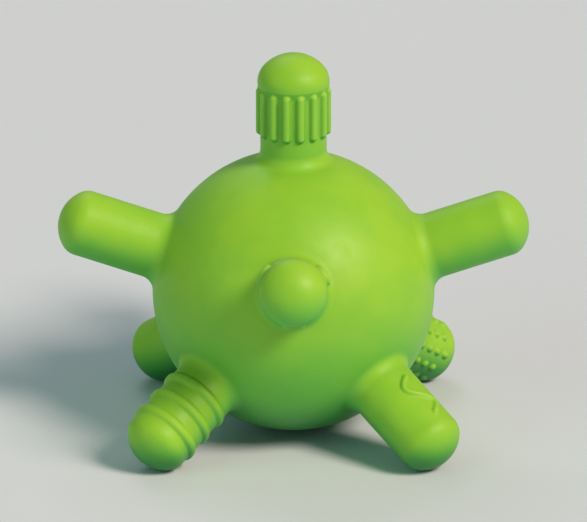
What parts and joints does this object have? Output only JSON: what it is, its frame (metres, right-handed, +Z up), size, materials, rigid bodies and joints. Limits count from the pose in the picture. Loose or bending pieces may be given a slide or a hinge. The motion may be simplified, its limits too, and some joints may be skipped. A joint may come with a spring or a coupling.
{
  "type": "teething ball",
  "caption": "Soft hollow teething ball on four lower arms, with blunt bending arms that carry ribs, rings, bumps, ridges or no texture.",
  "frame": {"origin": "on the ground under the ball's centre, at the bottom centre of the bounding box, where the lower arms' domes rest", "axes": "+Z up along the ribbed arm, -Y towards the arm with raised rings (front), +X towards the right plain arm"},
  "size_m": [0.0884, 0.0884, 0.0733],
  "materials": {
    "soft_skin": "satin, soft vinyl-like elastomer",
    "vent_plug": "satin"
  },
  "bodies": {
    "ball": {"ball_shell": "soft_skin", "vent_plug": "vent_plug"},
    "ribbed_arm": {"ribbed_arm": "soft_skin"},
    "ring_arm": {"ring_arm": "soft_skin"},
    "bump_arm": {"bump_arm": "soft_skin"},
    "left_arm": {"left_arm": "soft_skin"},
    "right_arm": {"right_arm": "soft_skin"},
    "dotted_leg": {"dotted_leg": "soft_skin"},
    "ridged_leg": {"ridged_leg": "soft_skin"},
    "wave_leg": {"wave_leg": "soft_skin"},
    "plain_leg": {"plain_leg": "soft_skin"}
  },
  "joints": [
    {"name": "ribbed_arm_bend", "type": "hinge", "parent": "ball", "child": "ribbed_arm", "pos_m": [0, 0, 0.05338], "axis": [0, 1, 0], "range_deg": [-25, 25], "stiffness_Nm_per_rad": 0.04},
    {"name": "ring_arm_bend", "type": "hinge", "parent": "ball", "child": "ring_arm", "pos_m": [0, -0.02513, 0.03528], "axis": [-1, 0, 0], "range_deg": [-25, 25], "stiffness_Nm_per_rad": 0.04},
    {"name": "bump_arm_bend", "type": "hinge", "parent": "ball", "child": "bump_arm", "pos_m": [0, 0.02513, 0.03528], "axis": [1, 0, 0], "range_deg": [-25, 25], "stiffness_Nm_per_rad": 0.04},
    {"name": "left_arm_bend", "type": "hinge", "parent": "ball", "child": "left_arm", "pos_m": [-0.02513, 0, 0.03528], "axis": [0, 1, 0], "range_deg": [-25, 25], "stiffness_Nm_per_rad": 0.04},
    {"name": "right_arm_bend", "type": "hinge", "parent": "ball", "child": "right_arm", "pos_m": [0.02513, 0, 0.03528], "axis": [0, -1, 0], "range_deg": [-25, 25], "stiffness_Nm_per_rad": 0.04},
    {"name": "dotted_leg_bend", "type": "hinge", "parent": "ball", "child": "dotted_leg", "pos_m": [0.01615, 0.01615, 0.01343], "axis": [0.7071, -0.7071, 0], "range_deg": [-25, 25], "stiffness_Nm_per_rad": 0.04},
    {"name": "ridged_leg_bend", "type": "hinge", "parent": "ball", "child": "ridged_leg", "pos_m": [-0.01615, -0.01615, 0.01343], "axis": [-0.7071, 0.7071, 0], "range_deg": [-25, 25], "stiffness_Nm_per_rad": 0.04},
    {"name": "wave_leg_bend", "type": "hinge", "parent": "ball", "child": "wave_leg", "pos_m": [0.01615, -0.01615, 0.01343], "axis": [-0.7071, -0.7071, 0], "range_deg": [-25, 25], "stiffness_Nm_per_rad": 0.04},
    {"name": "plain_leg_bend", "type": "hinge", "parent": "ball", "child": "plain_leg", "pos_m": [-0.01615, 0.01615, 0.01343], "axis": [0.7071, 0.7071, 0], "range_deg": [-25, 25], "stiffness_Nm_per_rad": 0.04}
  ]
}
